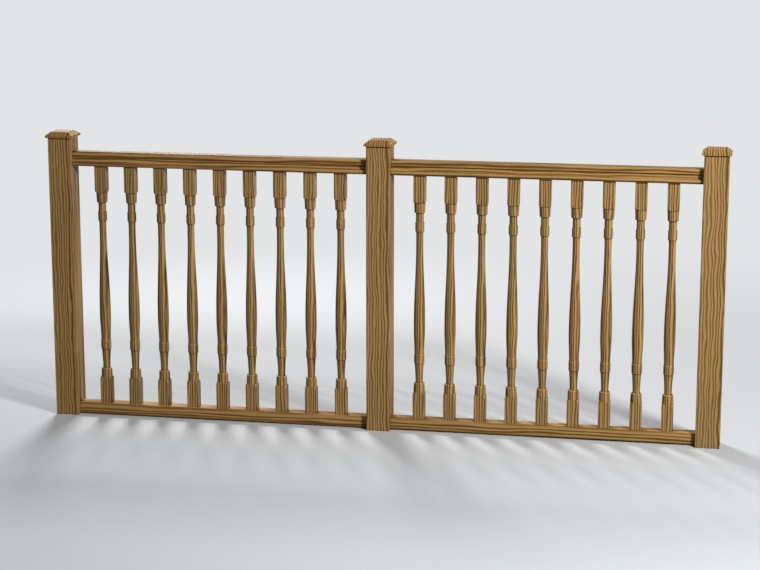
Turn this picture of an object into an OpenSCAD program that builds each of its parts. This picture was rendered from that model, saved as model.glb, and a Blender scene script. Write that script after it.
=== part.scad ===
// Wooden balustrade: two bays of lathe-turned balusters between three capped square posts.
// Frame: X runs along the rails, -Y is the front, +Z is up.
// Origin: centre of the middle post's foot, on the floor.

/* [Posts] */
// Side of each square post
post_w = 90; // [80:1:110]
// Height of a post from the floor to the underside of its cap
post_h = 1090; // [1060:5:1200]
// Radius that eases the four long arrises of a post
post_arris = 2; // [1:0.5:6]
// Centre to centre distance between posts
bay_pitch = 1238; // [1200:1:1300]

/* [Post caps] */
// How far a cap stands out beyond the post on every side
cap_overhang = 8; // [4:1:12]
// Height of the upright edge of a cap
cap_edge_h = 8; // [4:1:12]
// Height of the sloping part above that edge
cap_slope_h = 14; // [8:1:24]
// Side of the flat square on top of a cap
cap_flat_w = 69; // [50:1:76]

/* [Top rail] */
// Height of the top rail's underside above the floor
top_rail_z = 982; // [950:1:1000]
// Height of the top rail's section
top_rail_h = 55; // [51:1:60]
// Width of the rail's base, which stands on the balusters
rail_base_w = 64; // [62:1:72]
// Height of that base
rail_base_h = 15; // [12:1:18]
// Width of the web between the base and the capping
rail_web_w = 40; // [36:1:44]
// Width of the capping, the rounded part on top
capping_w = 52; // [48:1:58]
// Height of the capping
capping_h = 20; // [16:1:22]

/* [Bottom rail] */
// Gap left under the bottom rail
floor_gap = 5; // [3:1:40]
// Height of the bottom rail's section
bottom_rail_h = 44; // [36:1:50]
// Width of the bottom rail
bottom_rail_w = 52; // [46:1:64]

/* [Balusters] */
// Number of balusters in one bay
baluster_count = 9; // [7:1:9]
// Centre to centre distance between balusters
baluster_pitch = 117; // [90:1:120]
// Side of the square blocks at both ends of a baluster
block_w = 43; // [40:1:46]
// Radius that eases the arrises of the square blocks
block_arris = 1.5; // [0.5:0.5:3]
// Length of each square block, measured down the middle of its faces
block_h = 103; // [80:1:115]
// Greatest diameter of the swelling in the turned shaft
belly_d = 43; // [39:0.5:43]

/* [Hidden] */
SIDES = ["left", "right"];
POSTS = ["left", "middle", "right"];

$fn = 64;

capping_round = 6;           // rounding of the capping's upper edges
capping_bevel = [1.5, 2];    // width and height of the bevel along its lower edges
rail_base_round = 3;         // rounding of the base's upper edges
rail_base_bevel = [4, 6];    // width and height of the bevel along its lower edges
web_cove = 9;                // radius of the cove that joins the web to the base
bottom_rail_round = 5;       // rounding of the bottom rail's upper edges
bottom_rail_bevel = [4, 6];  // width and height of the bevel along its lower edges

bay_clear = bay_pitch - post_w;
baluster_z0 = floor_gap + bottom_rail_h;
baluster_z1 = top_rail_z;
baluster_h = baluster_z1 - baluster_z0;
first_baluster = bay_pitch / 2 - (baluster_count - 1) / 2 * baluster_pitch;

// Colours of the timber, one per kind of piece
post_wood = [0.62, 0.48, 0.30];
cap_wood = [0.68, 0.54, 0.35];
rail_wood = [0.64, 0.48, 0.29];
baluster_wood = [0.66, 0.51, 0.32];

// Turned part of a baluster, as radii and lengths
shoulder_h = 18;                   // the corners of a block are turned away over this height
collar_r = block_w / 2 - 0.1;      // round collar, where it leaves the block
collar_lip_r = block_w / 2 - 1.3;  // the same collar at its far edge
collar_round = 2.4;                // rounding of the collar's far edge
collar_base_h = 9;                 // length over which a collar stays at its full width
lower_collar_h = 35;               // length of the lower collar
upper_collar_h = 39;               // length of the upper collar
waist_r = 13.9;                    // thinnest part, above the lower collar
waist_top_r = 17.6;                // the waist where it meets the ring
waist_h = 76;                      // length of the waist
ring_r = 19.7;                     // ring between the waist and the shaft
ring_h = 36;                       // length of either ring
ring_round = 1.2;                  // rounding of a ring's edges
shaft_foot_r = 18.2;               // shaft just above the ring
belly_r = belly_d / 2;
belly_from = 347;                  // the shaft reaches its full belly at this height
belly_to = 368;                    // and starts to narrow again here
shaft_head_r = 13.3;               // slender head of the shaft
shaft_head_h = 52;                 // length of that head
shaft_top_r = 14.3;                // the head where it meets the upper ring
shaft_top_h = 22;                  // length over which it widens to that
upper_ring_r = 16.9;               // ring above the shaft
neck_r = 14.8;                     // neck between the upper ring and the upper collar
neck_h = 35;                       // length of the neck

// Heights above the baluster's foot where one turned member gives way to the next
lower_collar_z = block_h;
waist_z = lower_collar_z + lower_collar_h;
ring_z = waist_z + waist_h;
shaft_z = ring_z + ring_h;
upper_collar_z = baluster_h - block_h;
neck_z = upper_collar_z - upper_collar_h;
upper_ring_z = neck_z - neck_h;
shaft_head_z = upper_ring_z - ring_h;

// Points along an arc about the centre c, from angle a0 to angle a1
function arc(c, r, a0, a1, steps = 5) =
    [for (i = [0 : steps]) let (a = a0 + (a1 - a0) * i / steps)
        c + r * [cos(a), sin(a)]];

// S-curve from p0 to p1 that runs parallel to the axis at both ends
function swell(p0, p1, steps) =
    [for (i = [0 : steps]) let (t = i / steps)
        [p0[0] + (p1[0] - p0[0]) * (1 - cos(180 * t)) / 2, p0[1] + (p1[1] - p0[1]) * t]];

// Curve that leaves p0 parallel to the axis and opens out towards p1
function flare(p0, p1, steps) =
    [for (i = [0 : steps]) let (t = i / steps)
        [p0[0] + (p1[0] - p0[0]) * (1 - cos(90 * t)), p0[1] + (p1[1] - p0[1]) * t]];

// Straight-sided ring with rounded edges, z0 to z1
function ring(r, z0, z1) = concat(
    arc([r - ring_round, z0 + ring_round], ring_round, -90, 0, 3),
    arc([r - ring_round, z1 - ring_round], ring_round, 0, 90, 3)
);

// Collar that stands on a block at z0 and rounds over towards z0 + h
function collar(z0, h) =
    let (centre = [collar_lip_r - collar_round, z0 + h - collar_round])
    concat([[collar_r, z0], [collar_r, z0 + collar_base_h]], arc(centre, collar_round, 0, 90));

// The same points with their heights turned over about z
function upturned(points, z) =
    [for (i = [len(points) - 1 : -1 : 0]) [points[i][0], z - points[i][1]]];

// Half section of the turned length, from inside the lower block to inside the upper one
function turned_section() = concat(
    [[0, lower_collar_z - shoulder_h], [collar_r, lower_collar_z - shoulder_h]],
    collar(lower_collar_z, lower_collar_h),
    flare([waist_r, waist_z], [waist_top_r, ring_z], 8),
    ring(ring_r, ring_z, shaft_z),
    swell([shaft_foot_r, shaft_z], [belly_r, belly_from], 12),
    swell([belly_r, belly_to], [shaft_head_r, shaft_head_z - shaft_head_h], 20),
    flare([shaft_head_r, shaft_head_z - shaft_top_h], [shaft_top_r, shaft_head_z], 5),
    ring(upper_ring_r, shaft_head_z, upper_ring_z),
    [[neck_r, upper_ring_z], [neck_r, neck_z]],
    upturned(collar(lower_collar_z, upper_collar_h), baluster_h),
    [[collar_r, upper_collar_z + shoulder_h], [0, upper_collar_z + shoulder_h]]
);

// Half section that turns away the corners of a block that stands on z = 0
function shoulder_section() =
    let (corner_r = block_w / 2 * sqrt(2), shoulder_z = block_h - shoulder_h)
    concat(
        [[0, 0], [corner_r + 1, 0], [corner_r + 1, shoulder_z]],
        [for (i = [0 : 6]) let (a = 90 * i / 6)
            [collar_r + (corner_r - collar_r) * cos(a), shoulder_z + shoulder_h * sin(a)]],
        [[0, block_h]]
    );

// Square outline with its four corners eased
module eased_square(w, r) {
    square([w, w - 2 * r], center = true);
    square([w - 2 * r, w], center = true);
    for (x = [-1, 1], y = [-1, 1])
        translate([x * (w / 2 - r), y * (w / 2 - r)])
            circle(r, $fn = 24);
}

// Square block that stands on z = 0, with its upper corners turned away
module turned_block() {
    intersection() {
        linear_extrude(block_h)
            eased_square(block_w, block_arris);
        rotate_extrude()
            polygon(shoulder_section());
    }
}

// One baluster, standing on its own foot
module baluster() {
    color(baluster_wood) {
        turned_block();
        rotate_extrude()
            polygon(turned_section());
        translate([0, 0, baluster_h])
            mirror([0, 0, 1])
                turned_block();
    }
}

// Square post, from the floor to its cap
module post() {
    color(post_wood)
        linear_extrude(post_h)
            eased_square(post_w, post_arris);
}

// Side view of a cap, from its underside to the flat on top
module cap_outline() {
    half = post_w / 2 + cap_overhang;
    polygon([
        [-half, 0], [half, 0], [half, cap_edge_h],
        [cap_flat_w / 2, cap_edge_h + cap_slope_h],
        [-cap_flat_w / 2, cap_edge_h + cap_slope_h], [-half, cap_edge_h]
    ]);
}

// Hipped cap: the same side view, cut both ways
module cap() {
    span = post_w + 2 * cap_overhang;
    color(cap_wood)
        intersection() {
            rotate([90, 0, 0])
                linear_extrude(span, center = true)
                    cap_outline();
            rotate([90, 0, 90])
                linear_extrude(span, center = true)
                    cap_outline();
        }
}

// Flat outline, w wide and from y = 0 to y = h, with rounded upper and bevelled lower corners
module eased_bar(w, h, round_r, bevel) {
    half = w / 2;
    polygon([
        [-half + bevel[0], 0], [half - bevel[0], 0], [half, bevel[1]], [half, h - round_r],
        [-half, h - round_r], [-half, bevel[1]]
    ]);
    translate([-half + round_r, bevel[1]])
        square([w - 2 * round_r, h - bevel[1]]);
    for (x = [-1, 1])
        translate([x * (half - round_r), h - round_r])
            circle(round_r, $fn = 32);
}

// Hollow quarter round that fills the corner at the origin
module cove(r) {
    difference() {
        square(r);
        translate([r, r])
            circle(r, $fn = 32);
    }
}

// Section of the top rail: a wide base, a narrower web and a rounded capping that overhangs it
module top_rail_section() {
    eased_bar(rail_base_w, rail_base_h, rail_base_round, rail_base_bevel);
    for (side = [0, 1])
        mirror([side, 0])
            translate([rail_web_w / 2, rail_base_h])
                cove(web_cove);
    translate([-rail_web_w / 2, 0])
        square([rail_web_w, top_rail_h - capping_round]);
    translate([0, top_rail_h - capping_h])
        eased_bar(capping_w, capping_h, capping_round, capping_bevel);
}

// Section of the bottom rail
module bottom_rail_section() {
    eased_bar(bottom_rail_w, bottom_rail_h, bottom_rail_round, bottom_rail_bevel);
}

// A rail laid along X between two posts
module rail_bar() {
    rotate([90, 0, 90])
        linear_extrude(bay_clear)
            children();
}

module top_rail() {
    color(rail_wood)
        translate([0, 0, top_rail_z])
            rail_bar()
                top_rail_section();
}

module bottom_rail() {
    color(rail_wood)
        translate([0, 0, floor_gap])
            rail_bar()
                bottom_rail_section();
}

// Posts and caps
for (i = [0 : 2]) {
    translate([(i - 1) * bay_pitch, 0, 0]) {
        post();
        translate([0, 0, post_h])
            cap();
    }
}

// Rails and balusters of both bays
for (b = [0 : 1]) {
    bay_x = (b - 1) * bay_pitch;
    translate([bay_x + post_w / 2, 0, 0]) {
        top_rail();
        bottom_rail();
    }
    for (i = [1 : baluster_count])
        translate([bay_x + first_baluster + (i - 1) * baluster_pitch, 0, baluster_z0])
            baluster();
}
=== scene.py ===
import bpy
import bmesh
import math
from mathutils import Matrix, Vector


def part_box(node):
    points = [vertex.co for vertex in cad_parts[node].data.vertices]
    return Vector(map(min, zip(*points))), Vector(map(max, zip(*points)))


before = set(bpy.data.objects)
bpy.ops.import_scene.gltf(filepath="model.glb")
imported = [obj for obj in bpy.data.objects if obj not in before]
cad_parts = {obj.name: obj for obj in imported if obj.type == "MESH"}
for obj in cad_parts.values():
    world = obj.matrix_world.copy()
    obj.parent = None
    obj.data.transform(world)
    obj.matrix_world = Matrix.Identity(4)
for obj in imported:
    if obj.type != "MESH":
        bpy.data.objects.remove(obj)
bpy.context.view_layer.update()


# ---------------------------------------------------------------- camera
# A long lens on a tripod, seven metres in front of the right post and a metre
# above the handrail, turned to the left so that all three posts stand in view.
LENS_MM = 96.0
SENSOR_MM = 36.0
EYE = (1.41457, -7.34223, 2.13720)  # metres
EYE_TURN = 10.908  # degrees to the left of straight ahead
EYE_DIP = 11.925  # degrees below the horizon

camera_data = bpy.data.cameras.new("camera")
camera_data.lens = LENS_MM
camera_data.sensor_width = SENSOR_MM
camera = bpy.data.objects.new("camera", camera_data)
camera.location = EYE
camera.rotation_euler = (math.radians(90 - EYE_DIP), 0, math.radians(EYE_TURN))
bpy.context.scene.collection.objects.link(camera)
bpy.context.scene.camera = camera


# ---------------------------------------------------------------- studio
# A smooth floor in matt paint that fades into a pale room, under plain soft
# light: one lamp in front on the right, and behind on the left a low one that
# gives the rails their sheen and a high one that lights their tops and the back.
FLOOR_SIDE = 80.0  # metres
FLOOR_ROUGHNESS = 0.8
FLOOR_SHEEN = 0.1
FLOOR_PALE = "#c9cbcd"  # what is seen of the floor
FLOOR_GREY = "#7c7e82"  # what it throws back, so that the wood keeps its shadows
ROOM_PALE = "#e2e4e6"
ROOM_LEVEL = 0.15  # share of the room's brightness that falls on the wood
FADE_FROM = 1.6  # metres from the middle post, where the floor starts to fade
FADE_TO = 4.0  # and where only the room is left
# name, place, what it points at, side of the square, watts, whether it makes highlights
LAMPS = [
    ("front_lamp", (4.2, -3.4, 3.4), (0.2, 0.0, 0.5), 0.9, 372.0, True),
    ("back_lamp", (-2.05, 4.2, 2.5), (0.0, 0.0, 0.5), 1.3, 66.0, True),
    ("high_lamp", (-1.5, 3.4, 4.2), (0.0, 0.0, 0.4), 1.2, 190.0, False),
]
COLOUR_A = 6  # the two colour sockets of a Mix node
COLOUR_B = 7
MIXED_COLOUR = 2  # and the one that it gives


def linear(hex_colour):
    """An sRGB hex colour as linear red, green, blue and alpha."""
    found = []
    for i in (1, 3, 5):
        c = int(hex_colour[i : i + 2], 16) / 255
        found.append(c / 12.92 if c <= 0.04045 else ((c + 0.055) / 1.055) ** 2.4)
    return (*found, 1.0)


def add(tree, kind, inputs=(), **settings):
    """A shader node: settings are its own fields, inputs its sockets' values or links."""
    made = tree.nodes.new("ShaderNode" + kind)
    for field, value in settings.items():
        setattr(made, field, value)
    for socket, value in dict(inputs).items():
        if isinstance(value, bpy.types.NodeSocket):
            tree.links.new(value, made.inputs[socket])
        else:
            made.inputs[socket].default_value = value
    return made


def new_material(name):
    """An empty node material and its output node."""
    material = bpy.data.materials.new(name)
    material.use_nodes = True
    material.node_tree.nodes.clear()
    return material, add(material.node_tree, "OutputMaterial")


def looked_at(tree):
    """1 where the eye or a reflection shows the studio, 0 where its light falls on things."""
    path = add(tree, "LightPath").outputs
    seen = path["Is Camera Ray"]
    for ray in ("Is Glossy Ray", "Is Transmission Ray"):
        seen = add(tree, "Math", {0: seen, 1: path[ray]}, operation="ADD", use_clamp=True)
        seen = seen.outputs[0]
    return seen


# Matt paint, dusty and even: it shows soft shadows and no reflections
floor_paint, out = new_material("matt_floor_paint")
tree = floor_paint.node_tree
seen = looked_at(tree)
shade = add(
    tree,
    "Mix",
    {0: seen, COLOUR_A: linear(FLOOR_GREY), COLOUR_B: linear(FLOOR_PALE)},
    data_type="RGBA",
).outputs[MIXED_COLOUR]
paint = add(
    tree,
    "BsdfPrincipled",
    {"Base Color": shade, "Roughness": FLOOR_ROUGHNESS, "Specular IOR Level": FLOOR_SHEEN},
)
glow = add(tree, "Emission", {"Color": linear(ROOM_PALE), "Strength": 1.0})
place = add(tree, "TexCoord").outputs["Object"]
reach = add(tree, "VectorMath", {0: place}, operation="LENGTH").outputs["Value"]
far = add(
    tree,
    "MapRange",
    {"Value": reach, "From Min": FADE_FROM, "From Max": FADE_TO},
    interpolation_type="SMOOTHSTEP",
).outputs[0]
far = add(tree, "Math", {0: far, 1: seen}, operation="MULTIPLY").outputs[0]
blend = add(tree, "MixShader", {0: far, 1: paint.outputs[0], 2: glow.outputs[0]})
tree.links.new(blend.outputs[0], out.inputs["Surface"])

ground = bmesh.new()
bmesh.ops.create_grid(ground, x_segments=1, y_segments=1, size=FLOOR_SIDE / 2)
floor_mesh = bpy.data.meshes.new("studio_floor")
ground.to_mesh(floor_mesh)
ground.free()
floor_mesh.materials.append(floor_paint)
floor = bpy.data.objects.new("studio_floor", floor_mesh)
bpy.context.scene.collection.objects.link(floor)

for name, spot, target, side, watts, highlights in LAMPS:
    lamp_data = bpy.data.lights.new(name, "AREA")
    lamp_data.size = side
    lamp_data.energy = watts
    lamp = bpy.data.objects.new(name, lamp_data)
    aim = Vector(target) - Vector(spot)
    lamp.location = spot
    lamp.rotation_euler = aim.to_track_quat("-Z", "Y").to_euler()
    lamp.visible_camera = False
    lamp.visible_glossy = highlights
    bpy.context.scene.collection.objects.link(lamp)

room = bpy.data.worlds.new("studio_room")
room.use_nodes = True
room.node_tree.nodes.clear()
tree = room.node_tree
level = add(tree, "MapRange", {"Value": looked_at(tree), "To Min": ROOM_LEVEL}).outputs[0]
light = add(tree, "Background", {"Color": linear(ROOM_PALE), "Strength": level})
out = add(tree, "OutputWorld")
tree.links.new(light.outputs[0], out.inputs["Surface"])
bpy.context.scene.world = room
bpy.context.scene.view_settings.view_transform = "Standard"


# ----------------------------------------------------------------- posts
# Three square posts of fast-grown pine, which stand on the floor and carry
# the rails. Each is one length of timber, planed, its arrises eased, then
# stained light oak and varnished; it is sawn with its rings facing the front.
MM = 1000.0  # object coordinates are metres, the grain is worked out in millimetres
POST_WAVES = ((5.0, 38.0, 130.0), (1.5, 16.0, 52.0))  # amount, width and length

TURN = 0.16  # most that the rings lean in a piece, as a slope
BOW = 360.0  # millimetres: twice the radius of the rings, so far from the pith
WAVE_GAIN = 4.0  # a noise keeps to the middle quarter of its range
WAVE_SEED = (37.0, 91.0)  # how far apart the pieces lie in each wave's noise
WAVE_DETAIL = 1.0  # low, so that the waves have no ripples of their own
NOISE_MIDDLE = 0.5
YEAR_SWING = 0.6  # how fast wide years give way to narrow ones
UNEVEN = 0.8  # how much of a ring the years differ by
FAINTEST = 0.75  # strength of the palest late wood
YEAR_ENDS = 0.35  # how dark the wood is where one year gives way to the next
# How far through a year, and how dark the wood is: palest in spring, darkest late in summer
YEAR = ((0.16, 0.0), (0.38, 0.15), (0.66, 0.95), (0.84, 1.0))
FLAT_FROM = 0.6  # how squarely a face lies on the rings before the lines fade
FLAT_TO = 0.98
FLAT_MOST = 0.85  # share of the lines that is then gone
STREAK = (1 / 11, 1 / 11, 1 / 420)  # streaks 11 mm wide and 420 mm long
STREAK_DETAIL = 1.5
STREAK_LOW = 0.4  # range of the noise between two streaks and in the middle of one
STREAK_HIGH = 0.63
STREAK_PALE = 0.25  # how much late wood shows at either
STREAK_DARK = 1.15
FIBRE = (0.8, 0.8, 0.018)  # fibres drawn a millimetre wide, as real ones are too fine to show
CLOUD = (0.016, 0.016, 0.004)  # slow changes of tone, 60 mm wide and 250 mm long
NOISE_LOW = 0.3  # range that a noise really covers
NOISE_HIGH = 0.7
FIBRE_TONE = (0.92, 1.08)  # how much darker or paler the fibres make the wood
CLOUD_TONE = (0.94, 1.06)
PIECE_TONE = (0.94, 1.06)  # how much the pieces differ in tone
PIECE_HUE = (0.495, 0.505)  # and in hue, where half is no change
CORNER = 0.007  # metres from a corner that the painted shade reaches
CORNER_RAYS = 12
CORNER_SHUT = 0.4  # how open a corner is where it is darkest
CORNER_OPEN = 0.93  # and where nothing darkens it
CORNER_DARK = 0.55  # share of the tone that is left in the darkest
BAND_CORE = 0.8  # millimetres either way that a band of painted shade or light is at its full strength
BAND_EDGE = 3.2  # and where it ends
EASED = 0.0008  # metres: how softly an arris catches the light
EASED_RAYS = 4
RELIEF = 0.0004  # metres that the fibres stand up, more than real ones so that it shows
RELIEF_SHOWN = 0.35  # share of that which the varnish leaves to be seen
LATE_RELIEF = 0.5  # late wood stands up half as much as the fibres do
VARNISH_IOR = 1.45
VARNISH_ROUGH = (0.46, 0.58)  # satin, smooth between the fibres and rougher over them
COAT_ROUGH = 0.12


def piece_middle(tree, x, bay, pitch):
    """Middle of the piece along X: bays are centred bay to both sides of the middle
    post, and the pieces in one stand pitch apart."""
    side = add(tree, "Math", {0: x}, operation="SIGN").outputs[0]
    centre = add(tree, "Math", {0: side, 1: bay}, operation="MULTIPLY").outputs[0]
    steps = add(tree, "Math", {0: x, 1: centre}, operation="SUBTRACT").outputs[0]
    steps = add(tree, "Math", {0: steps, 1: pitch}, operation="DIVIDE").outputs[0]
    steps = add(tree, "Math", {0: steps}, operation="ROUND").outputs[0]
    return add(
        tree, "Math", {0: steps, 1: pitch, 2: centre}, operation="MULTIPLY_ADD"
    ).outputs[0]


def through_rings(tree, grain, across, inward, lots, chance, waves):
    """Distance through the rings: nearly flat sheets, a little turned, bowed and wavy."""
    turn = add(tree, "MapRange", {"Value": lots[0], "To Min": -TURN, "To Max": TURN})
    distance = add(
        tree, "Math", {0: inward, 1: turn.outputs[0], 2: across}, operation="MULTIPLY_ADD"
    ).outputs[0]
    bow = add(tree, "Math", {0: inward, 1: inward}, operation="MULTIPLY").outputs[0]
    distance = add(
        tree, "Math", {0: bow, 1: 1 / BOW, 2: distance}, operation="MULTIPLY_ADD"
    ).outputs[0]
    for seed, (amount, width, length) in zip(WAVE_SEED, waves):
        shift = add(tree, "VectorMath", {0: chance, "Scale": seed}, operation="SCALE")
        spot = add(
            tree,
            "VectorMath",
            {0: grain, 1: (1 / width, 1 / width, 1 / length), 2: shift.outputs[0]},
            operation="MULTIPLY_ADD",
        ).outputs[0]
        wave = add(
            tree, "TexNoise", {"Vector": spot, "Scale": 1.0, "Detail": WAVE_DETAIL}
        ).outputs[0]
        wave = add(tree, "Math", {0: wave, 1: NOISE_MIDDLE}, operation="SUBTRACT").outputs[0]
        distance = add(
            tree,
            "Math",
            {0: wave, 1: WAVE_GAIN * amount, 2: distance},
            operation="MULTIPLY_ADD",
        ).outputs[0]
    return distance


def late_wood(tree, distance, ring, phase):
    """Each year starts pale and ends in a dark line; years differ in width and strength."""
    years = add(tree, "Math", {0: distance, 1: ring}, operation="DIVIDE").outputs[0]
    luck = add(
        tree,
        "TexNoise",
        {"W": years, "Scale": YEAR_SWING, "Detail": 0.0},
        noise_dimensions="1D",
    ).outputs[0]
    luck = add(tree, "Math", {0: luck, 1: phase}, operation="ADD").outputs[0]
    years = add(
        tree, "Math", {0: luck, 1: UNEVEN, 2: years}, operation="MULTIPLY_ADD"
    ).outputs[0]
    season = add(tree, "Math", {0: years}, operation="FRACT").outputs[0]
    year = add(tree, "Math", {0: years}, operation="FLOOR").outputs[0]
    strong = add(tree, "TexWhiteNoise", {"W": year}, noise_dimensions="1D").outputs["Value"]
    strong = add(tree, "MapRange", {"Value": strong, "To Min": FAINTEST}).outputs[0]

    tone = add(tree, "ValToRGB", {0: season})
    ramp = tone.color_ramp
    ramp.interpolation = "EASE"
    for end in ramp.elements:
        end.color = (YEAR_ENDS, YEAR_ENDS, YEAR_ENDS, 1)
    for spot, dark in YEAR:
        ramp.elements.new(spot).color = (dark, dark, dark, 1)
    return add(tree, "Math", {0: tone.outputs[0], 1: strong}, operation="MULTIPLY").outputs[0]


def flat_sawn(tree, late, grain, chance, normal_axis):
    """On a face that lies along the rings the lines give way to long soft streaks."""
    normal = add(tree, "TexCoord").outputs["Normal"]
    facing = add(tree, "SeparateXYZ", {0: normal}).outputs[normal_axis]
    facing = add(tree, "Math", {0: facing}, operation="ABSOLUTE").outputs[0]
    flat = add(
        tree,
        "MapRange",
        {"Value": facing, "From Min": FLAT_FROM, "From Max": FLAT_TO, "To Max": FLAT_MOST},
    ).outputs[0]
    spot = add(
        tree, "VectorMath", {0: grain, 1: STREAK, 2: chance}, operation="MULTIPLY_ADD"
    ).outputs[0]
    streak = add(
        tree, "TexNoise", {"Vector": spot, "Scale": 1.0, "Detail": STREAK_DETAIL}
    ).outputs[0]
    streak = add(
        tree,
        "MapRange",
        {
            "Value": streak,
            "From Min": STREAK_LOW,
            "From Max": STREAK_HIGH,
            "To Min": STREAK_PALE,
            "To Max": STREAK_DARK,
        },
    ).outputs[0]
    return add(tree, "Mix", {0: flat, 2: late, 3: streak}, data_type="FLOAT").outputs[0]


def times(tree, tone, noise, span):
    """The tone times a noise that is spread over a span, its lowest and highest value."""
    change = add(
        tree,
        "MapRange",
        {
            "Value": noise,
            "From Min": NOISE_LOW,
            "From Max": NOISE_HIGH,
            "To Min": span[0],
            "To Max": span[1],
        },
    ).outputs[0]
    return add(tree, "Math", {0: tone, 1: change}, operation="MULTIPLY").outputs[0]


def varnished_pine(
    name, axes, bay, pitch, level, ring, phase, waves, light, dark, shine, coat=0.0, bands=()
):
    """Pine under satin varnish: pale spring wood, dark late-wood lines and a soft sheen.

    axes: those across the rings, into the face and along the grain
    bay, pitch, level: find the piece and its middle, so that each has a tree of its own
    ring, phase: width of a year, drawn wider than in most pine so that the lines show,
        and how far through one the middle of the piece is
    waves: amount, width and length of each kind of wave in the rings
    light, dark: colours of the spring wood and of the late wood
    shine, coat: gloss of the varnish, and of a second coat over it
    bands: heights painted darker as shade or paler as light, each with its strength
    Lengths are millimetres."""
    material, out = new_material(name)
    tree = material.node_tree
    place = add(tree, "TexCoord").outputs["Object"]
    place = add(tree, "VectorMath", {0: place, "Scale": MM}, operation="SCALE").outputs[0]
    x, y, z = add(tree, "SeparateXYZ", {0: place}).outputs

    middle = piece_middle(tree, x, bay, pitch)
    chance = add(tree, "TexWhiteNoise", {"W": middle}, noise_dimensions="1D").outputs["Color"]
    lots = add(tree, "SeparateXYZ", {0: chance}).outputs
    local = {
        "x": add(tree, "Math", {0: x, 1: middle}, operation="SUBTRACT").outputs[0],
        "y": y,
        "z": add(tree, "Math", {0: z, 1: level}, operation="SUBTRACT").outputs[0],
    }
    across, inward, along = (local[axis] for axis in axes)
    grain = add(tree, "CombineXYZ", {0: across, 1: inward, 2: along}).outputs[0]

    distance = through_rings(tree, grain, across, inward, lots, chance, waves)
    late = late_wood(tree, distance, ring, phase)
    late = flat_sawn(tree, late, grain, chance, axes[0].upper())
    colour = add(
        tree,
        "Mix",
        {0: late, COLOUR_A: linear(light), COLOUR_B: linear(dark)},
        data_type="RGBA",
    ).outputs[MIXED_COLOUR]

    # Every piece has its own tone, clouded along its length and flecked by its fibres
    spot = add(tree, "VectorMath", {0: grain, 1: FIBRE}, operation="MULTIPLY").outputs[0]
    fibre = add(tree, "TexNoise", {"Vector": spot, "Scale": 1.0}).outputs[0]
    spot = add(
        tree, "VectorMath", {0: grain, 1: CLOUD, 2: chance}, operation="MULTIPLY_ADD"
    ).outputs[0]
    cloud = add(tree, "TexNoise", {"Vector": spot, "Scale": 1.0}).outputs[0]
    tone = add(
        tree, "MapRange", {"Value": lots[2], "To Min": PIECE_TONE[0], "To Max": PIECE_TONE[1]}
    ).outputs[0]
    tone = times(tree, tone, fibre, FIBRE_TONE)
    tone = times(tree, tone, cloud, CLOUD_TONE)

    # Painted shade: the wood is darkened in corners and creases where pieces meet, the more
    # the more closed in they are
    corner = add(
        tree, "AmbientOcclusion", {"Distance": CORNER}, samples=CORNER_RAYS
    ).outputs["AO"]
    corner_shade = add(
        tree,
        "MapRange",
        {
            "Value": corner,
            "From Min": CORNER_SHUT,
            "From Max": CORNER_OPEN,
            "To Min": CORNER_DARK,
        },
    ).outputs[0]
    tone = add(tree, "Math", {0: tone, 1: corner_shade}, operation="MULTIPLY").outputs[0]
    for height, strength in bands:
        off = add(tree, "Math", {0: z, 1: height}, operation="SUBTRACT").outputs[0]
        off = add(tree, "Math", {0: off}, operation="ABSOLUTE").outputs[0]
        band = add(
            tree,
            "MapRange",
            {"Value": off, "From Min": BAND_CORE, "From Max": BAND_EDGE, "To Min": strength},
        ).outputs[0]
        tone = add(tree, "Math", {0: tone, 1: band}, operation="MULTIPLY").outputs[0]
    hue = add(
        tree, "MapRange", {"Value": lots[1], "To Min": PIECE_HUE[0], "To Max": PIECE_HUE[1]}
    ).outputs[0]
    colour = add(
        tree, "HueSaturation", {"Hue": hue, "Value": tone, "Color": colour}
    ).outputs[0]

    # The fibres and the late wood stand up a little under the varnish
    rough = times(tree, 1.0, fibre, VARNISH_ROUGH)
    relief = add(
        tree, "Math", {0: late, 1: LATE_RELIEF, 2: fibre}, operation="MULTIPLY_ADD"
    ).outputs[0]
    eased = add(tree, "Bevel", {"Radius": EASED}, samples=EASED_RAYS).outputs[0]
    bump = add(
        tree,
        "Bump",
        {"Height": relief, "Strength": RELIEF_SHOWN, "Distance": RELIEF, "Normal": eased},
    ).outputs[0]
    varnish = add(
        tree,
        "BsdfPrincipled",
        {
            "Base Color": colour,
            "Roughness": rough,
            "IOR": VARNISH_IOR,
            "Specular IOR Level": shine,
            "Coat Weight": coat,
            "Coat Roughness": COAT_ROUGH,
            "Normal": bump,
        },
    ).outputs[0]
    tree.links.new(varnish, out.inputs["Surface"])
    return material


def middle_x(node):
    """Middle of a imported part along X, in whole millimetres."""
    low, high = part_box(node)
    return round((low[0] + high[0]) / 2 * MM)


def dress(node, material):
    """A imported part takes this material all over."""
    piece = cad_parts[node]
    piece.data.materials.clear()
    piece.data.materials.append(material)


# Planed pine: dark lines run up the front of a post, and long soft streaks up its sides
post_pine = varnished_pine(
    "planed_pine_post",
    axes="xyz",
    bay=0.0,
    pitch=middle_x("post_right"),
    level=500.0,
    ring=11.25,
    phase=-0.15,
    waves=POST_WAVES,
    light="#b28f5b",
    dark="#644113",
    shine=0.15,
)
for side in ("left", "middle", "right"):
    dress("post_" + side, post_pine)


# ------------------------------------------------------------------ caps
# A hipped cap on every post keeps the rain out of its end grain. It is sawn
# from a pine board, bevelled on four sides and nailed down, with the grain
# from front to back, so that its front edge shows the ends of the rings.
CAP_WAVES = ((2.2, 34.0, 90.0), (0.9, 12.0, 26.0))

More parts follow.
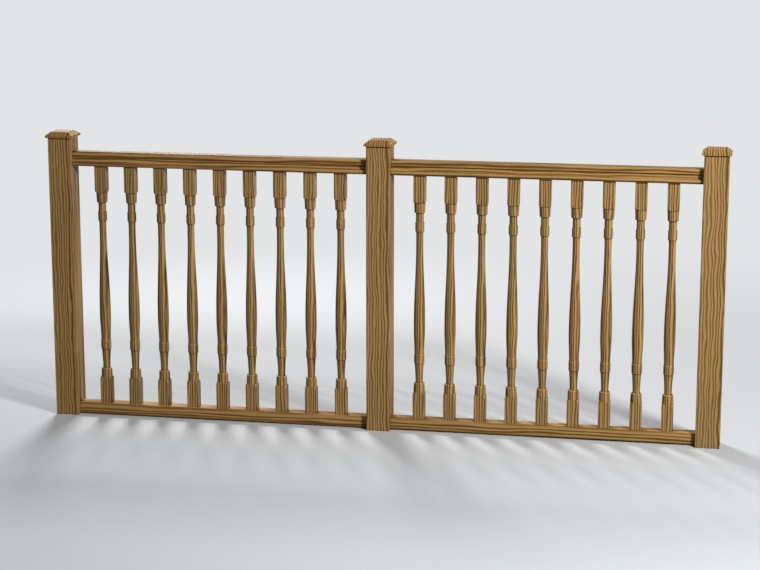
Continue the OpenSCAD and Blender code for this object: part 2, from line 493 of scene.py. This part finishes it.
# Bevelled pine: short dark lines cross the slopes, and the flat top has a pale sheen
cap_pine = varnished_pine(
    "bevelled_pine_cap",
    axes="xzy",
    bay=0.0,
    pitch=middle_x("cap_right"),
    level=1100.0,
    ring=9.6,
    phase=-0.15,
    waves=CAP_WAVES,
    light="#b48b53",
    dark="#4e300b",
    shine=0.1,
)
for side in ("left", "middle", "right"):
    dress("cap_" + side, cap_pine)


# ----------------------------------------------------------------- rails
# A moulded handrail and a plain bottom rail close each bay. They are run on
# a spindle moulder from long straight-grained pine and let into the posts, so
# broad bands of grain run along them from one post to the next.
RAIL_WAVES = ((5.5, 34.0, 340.0), (1.2, 14.0, 120.0))
RAIL_SPACING = 4000.0  # millimetres: more than a bay, as each bay has one rail at a height
BASE_ARRIS = 6.0  # millimetres from the handrail's underside to its lower arris
ARRIS_SHADE = 0.7  # painted shade along that arris
HANDRAIL_TOP_SHADE = 0.85  # painted shade that tones down the sheen on top of the handrail
FOOTRAIL_TOP_LIGHT = 1.28  # and painted light on the bottom rail's top, where the lamps behind shine between the balusters
handrail_foot = round(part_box("top_rail_left")[0][2] * MM)
handrail_top = round(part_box("top_rail_left")[1][2] * MM)
footrail_top = round(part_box("bottom_rail_left")[1][2] * MM)

# Moulded pine: long wavy bands that the coves and arrises cut into lines of shadow
rail_pine = varnished_pine(
    "moulded_pine_rail",
    axes="zyx",
    bay=middle_x("top_rail_right"),
    pitch=RAIL_SPACING,
    level=0.0,
    ring=13.8,
    phase=0.93,
    waves=RAIL_WAVES,
    light="#b6915b",
    dark="#64420e",
    shine=0.07,
    # Painted shade along the base's lower arris and on the handrail's top, painted light on
    # the bottom rail's top
    bands=(
        (handrail_foot + BASE_ARRIS, ARRIS_SHADE),
        (handrail_top, HANDRAIL_TOP_SHADE),
        (footrail_top, FOOTRAIL_TOP_LIGHT),
    ),
)
for side in ("left", "right"):
    dress("top_rail_" + side, rail_pine)
    dress("bottom_rail_" + side, rail_pine)


# ------------------------------------------------------------- balusters
# Nine balusters in each bay stand on the bottom rail and are nailed up into
# the handrail. Each is turned on a lathe from a square length of pine that
# stays square at both ends, between which collars, rings and a belly are cut.
BALUSTER_WAVES = ((3.6, 34.0, 150.0), (0.9, 12.0, 60.0))
IN_A_BAY = 9
UNDERSIDES = (212.5, 719.0, 790.0, 829.0)  # millimetres above the baluster's foot
UPPER_EDGES = (136.5, 248.5)
UNDERSIDE_SHADE = 0.55  # painted shade in the quirk under a ring, a collar or a block
EDGE_HIGHLIGHT = 1.4  # and a painted highlight along their upper edges
foot = round(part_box("baluster_left_1")[0][2] * MM)
# Painted shade under the rings, collars and blocks, and painted highlights along their upper
# edges
bands = [(foot + rise, UNDERSIDE_SHADE) for rise in UNDERSIDES]
bands += [(foot + rise, EDGE_HIGHLIGHT) for rise in UPPER_EDGES]

# Turned pine: straight lines on the blocks, which part and close again round the belly,
# under a second thin coat that catches the light on the curves
baluster_pine = varnished_pine(
    "turned_pine_baluster",
    axes="xyz",
    bay=middle_x("baluster_right_5"),
    pitch=middle_x("baluster_right_5") - middle_x("baluster_right_4"),
    level=500.0,
    ring=10.2,
    phase=-0.15,
    waves=BALUSTER_WAVES,
    light="#b58e57",
    dark="#3c2104",
    shine=0.14,
    coat=0.12,
    bands=bands,
)
for side in ("left", "right"):
    for number in range(1, IN_A_BAY + 1):
        dress(f"baluster_{side}_{number}", baluster_pine)
